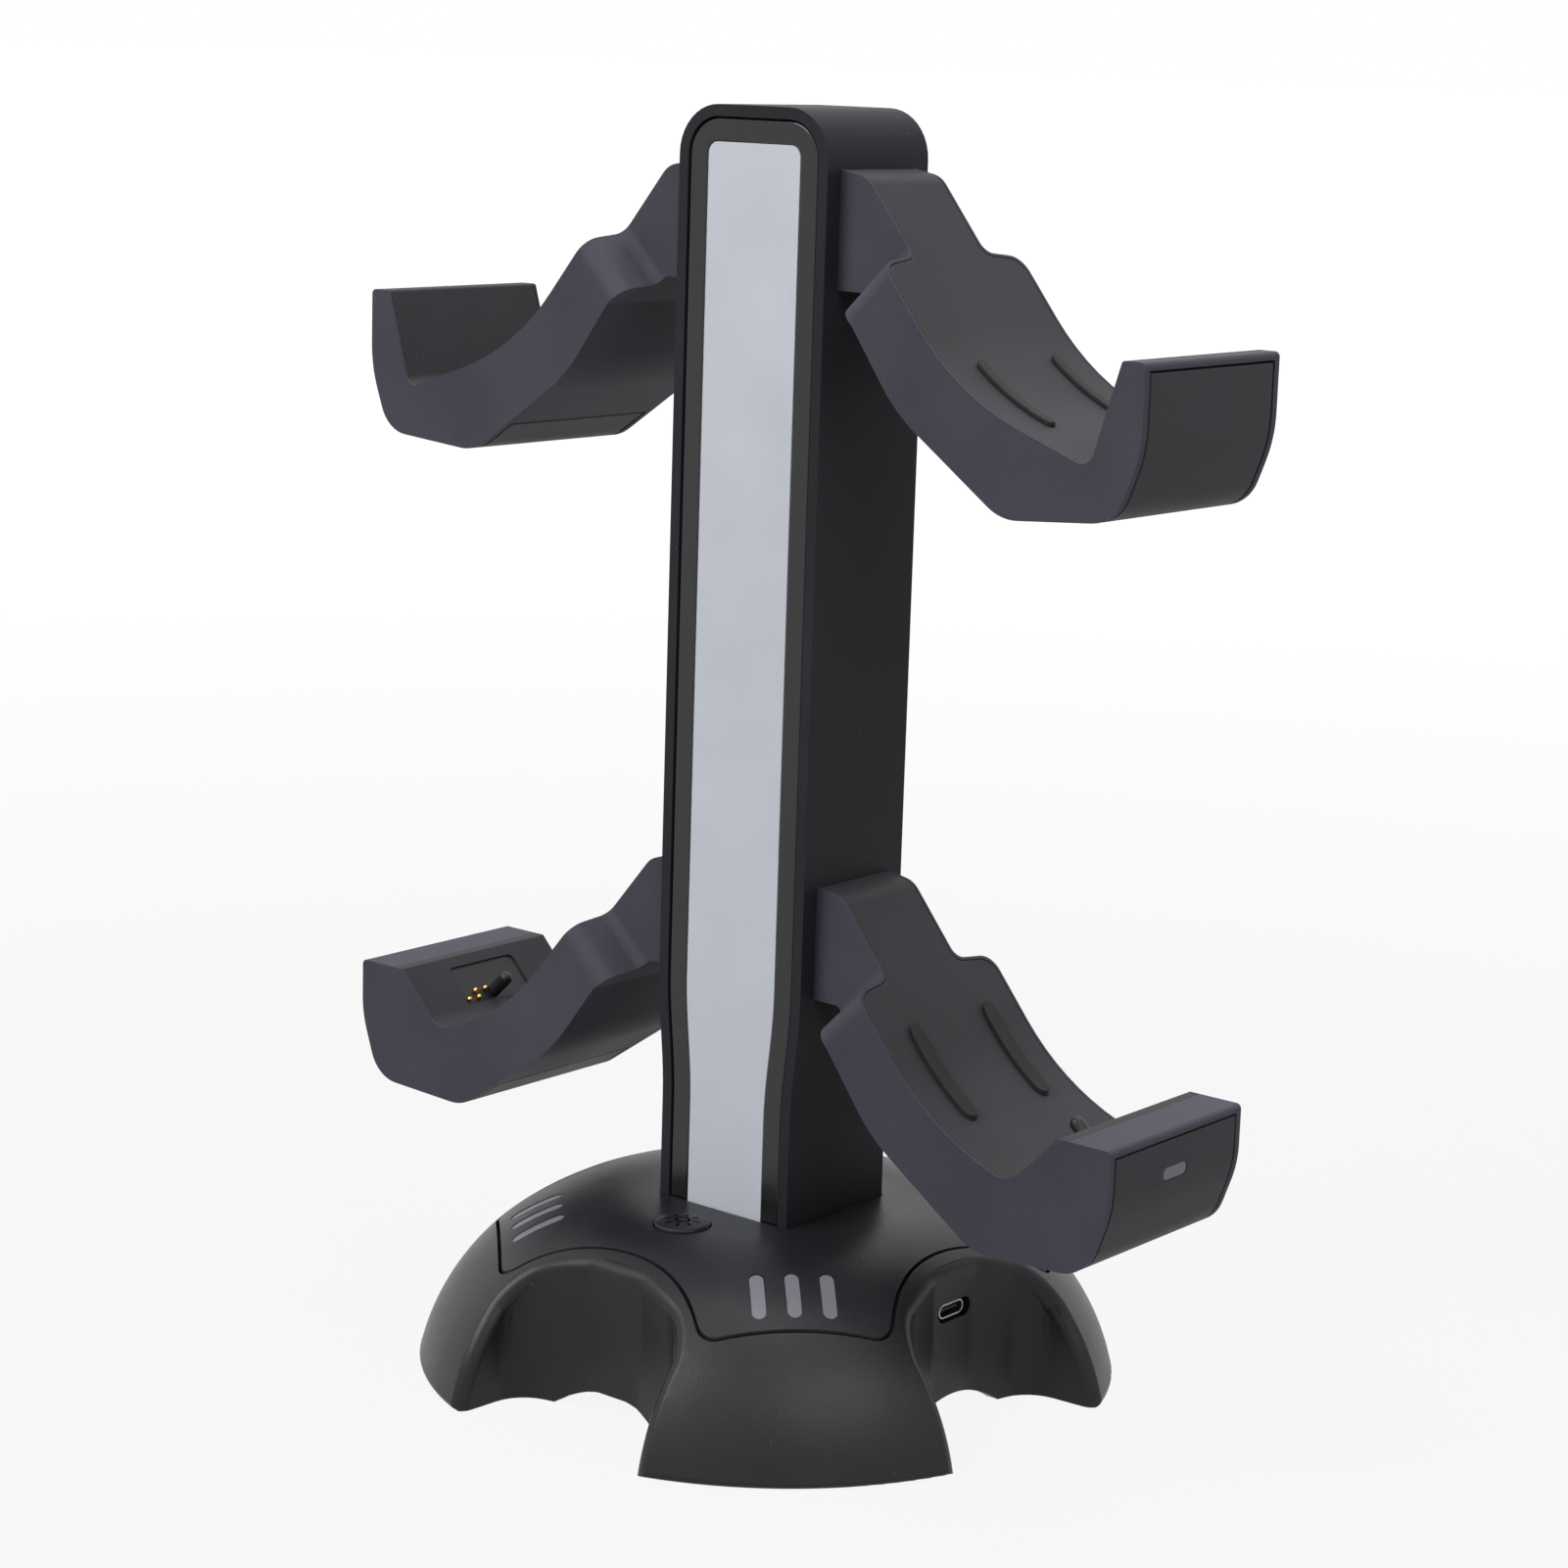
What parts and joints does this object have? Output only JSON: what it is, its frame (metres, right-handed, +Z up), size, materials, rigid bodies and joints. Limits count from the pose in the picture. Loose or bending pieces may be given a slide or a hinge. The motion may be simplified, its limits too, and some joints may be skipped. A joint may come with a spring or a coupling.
{
  "type": "headset stand",
  "caption": "Free-standing charging stand with a lit column, hooked cradle arms in two tiers, sprung contact pins and a domed four-footed base.",
  "frame": {"origin": "on the floor, under the middle of the column", "axes": "+Z up, the light strip faces -Y, the cradle arms reach out along +X and -X"},
  "size_m": [0.2216, 0.1538, 0.29],
  "materials": {
    "column_shell": "fine matte grain, charcoal",
    "light_bezel": "satin black",
    "light_diffuser": "milky translucent white",
    "light_board": "solder mask green",
    "light_chips": "pale chip body",
    "upper_right_arm": "fine matte grain, charcoal",
    "upper_right_seat": "fine matte grain, warm charcoal",
    "upper_right_cover": "fine matte grain, charcoal",
    "upper_left_arm": "fine matte grain, charcoal",
    "upper_left_seat": "fine matte grain, warm charcoal",
    "upper_left_cover": "fine matte grain, charcoal",
    "lower_right_arm": "fine matte grain, charcoal",
    "lower_right_seat": "fine matte grain, warm charcoal",
    "lower_right_cover": "fine matte grain, charcoal",
    "lower_left_arm": "fine matte grain, charcoal",
    "lower_left_seat": "fine matte grain, warm charcoal",
    "lower_left_cover": "fine matte grain, charcoal",
    "upper_right_strips": "matte black rubber",
    "upper_left_strips": "matte black rubber",
    "lower_right_pads": "matte black rubber",
    "lower_right_contact_plate": "satin black",
    "lower_right_contact_barrels": "gold plated",
    "lower_right_contact_board": "solder mask green",
    "lower_right_status_window": "smoky translucent",
    "lower_right_pin_1": "polished gold plating",
    "lower_right_pin_2": "polished gold plating",
    "lower_right_pin_3": "polished gold plating",
    "lower_right_pin_4": "polished gold plating",
    "lower_left_pads": "matte black rubber",
    "lower_left_contact_plate": "satin black",
    "lower_left_contact_barrels": "gold plated",
    "lower_left_contact_board": "solder mask green",
    "lower_left_status_window": "smoky translucent",
    "lower_left_pin_1": "polished gold plating",
    "lower_left_pin_2": "polished gold plating",
    "lower_left_pin_3": "polished gold plating",
    "lower_left_pin_4": "polished gold plating",
    "base_shell": "fine matte grain, charcoal",
    "base_cover": "fine matte grain, charcoal",
    "base_windows": "smoky translucent",
    "light_button": "satin charcoal",
    "button_switch": "bare metal can",
    "bottom_plate": "plain black",
    "rubber_feet": "matte black rubber",
    "main_board": "solder mask green",
    "port_shells": "nickel plated",
    "port_tongues": "black moulding",
    "steel_weight": "plain steel",
    "arm_screws": "zinc plated",
    "column_screws": "zinc plated",
    "base_screws": "zinc plated",
    "board_screws": "zinc plated"
  },
  "bodies": {
    "stand": {"column_shell": "column_shell", "light_bezel": "light_bezel", "light_diffuser": "light_diffuser", "light_board": "light_board", "light_chips": "light_chips", "upper_right_arm": "upper_right_arm", "upper_right_seat": "upper_right_seat", "upper_right_cover": "upper_right_cover", "upper_left_arm": "upper_left_arm", "upper_left_seat": "upper_left_seat", "upper_left_cover": "upper_left_cover", "lower_right_arm": "lower_right_arm", "lower_right_seat": "lower_right_seat", "lower_right_cover": "lower_right_cover", "lower_left_arm": "lower_left_arm", "lower_left_seat": "lower_left_seat", "lower_left_cover": "lower_left_cover", "upper_right_strips": "upper_right_strips", "upper_left_strips": "upper_left_strips", "lower_right_pads": "lower_right_pads", "lower_right_contact_plate": "lower_right_contact_plate", "lower_right_contact_barrels": "lower_right_contact_barrels", "lower_right_contact_board": "lower_right_contact_board", "lower_right_status_window": "lower_right_status_window", "lower_left_pads": "lower_left_pads", "lower_left_contact_plate": "lower_left_contact_plate", "lower_left_contact_barrels": "lower_left_contact_barrels", "lower_left_contact_board": "lower_left_contact_board", "lower_left_status_window": "lower_left_status_window", "base_shell": "base_shell", "base_cover": "base_cover", "base_windows": "base_windows", "button_switch": "button_switch", "bottom_plate": "bottom_plate", "rubber_feet": "rubber_feet", "main_board": "main_board", "port_shells": "port_shells", "port_tongues": "port_tongues", "steel_weight": "steel_weight", "arm_screws": "arm_screws", "column_screws": "column_screws", "base_screws": "base_screws", "board_screws": "board_screws"},
    "light_button": {"light_button": "light_button"},
    "lower_right_pin_1": {"lower_right_pin_1": "lower_right_pin_1"},
    "lower_right_pin_2": {"lower_right_pin_2": "lower_right_pin_2"},
    "lower_right_pin_3": {"lower_right_pin_3": "lower_right_pin_3"},
    "lower_right_pin_4": {"lower_right_pin_4": "lower_right_pin_4"},
    "lower_left_pin_1": {"lower_left_pin_1": "lower_left_pin_1"},
    "lower_left_pin_2": {"lower_left_pin_2": "lower_left_pin_2"},
    "lower_left_pin_3": {"lower_left_pin_3": "lower_left_pin_3"},
    "lower_left_pin_4": {"lower_left_pin_4": "lower_left_pin_4"}
  },
  "joints": [
    {"name": "light_button_press", "type": "slide", "parent": "stand", "child": "light_button", "axis": [0, 0, -1], "range_m": [0, 0.0008], "stiffness_N_per_m": 500},
    {"name": "lower_right_pin_1_press", "type": "slide", "parent": "stand", "child": "lower_right_pin_1", "axis": [0.7193, 0, -0.6947], "range_m": [0, 0.001], "stiffness_N_per_m": 100},
    {"name": "lower_right_pin_2_press", "type": "slide", "parent": "stand", "child": "lower_right_pin_2", "axis": [0.7193, 0, -0.6947], "range_m": [0, 0.001], "stiffness_N_per_m": 100},
    {"name": "lower_right_pin_3_press", "type": "slide", "parent": "stand", "child": "lower_right_pin_3", "axis": [0.7193, 0, -0.6947], "range_m": [0, 0.001], "stiffness_N_per_m": 100},
    {"name": "lower_right_pin_4_press", "type": "slide", "parent": "stand", "child": "lower_right_pin_4", "axis": [0.7193, 0, -0.6947], "range_m": [0, 0.001], "stiffness_N_per_m": 100},
    {"name": "lower_left_pin_1_press", "type": "slide", "parent": "stand", "child": "lower_left_pin_1", "axis": [-0.7193, 0, -0.6947], "range_m": [0, 0.001], "stiffness_N_per_m": 100},
    {"name": "lower_left_pin_2_press", "type": "slide", "parent": "stand", "child": "lower_left_pin_2", "axis": [-0.7193, 0, -0.6947], "range_m": [0, 0.001], "stiffness_N_per_m": 100},
    {"name": "lower_left_pin_3_press", "type": "slide", "parent": "stand", "child": "lower_left_pin_3", "axis": [-0.7193, 0, -0.6947], "range_m": [0, 0.001], "stiffness_N_per_m": 100},
    {"name": "lower_left_pin_4_press", "type": "slide", "parent": "stand", "child": "lower_left_pin_4", "axis": [-0.7193, 0, -0.6947], "range_m": [0, 0.001], "stiffness_N_per_m": 100}
  ]
}
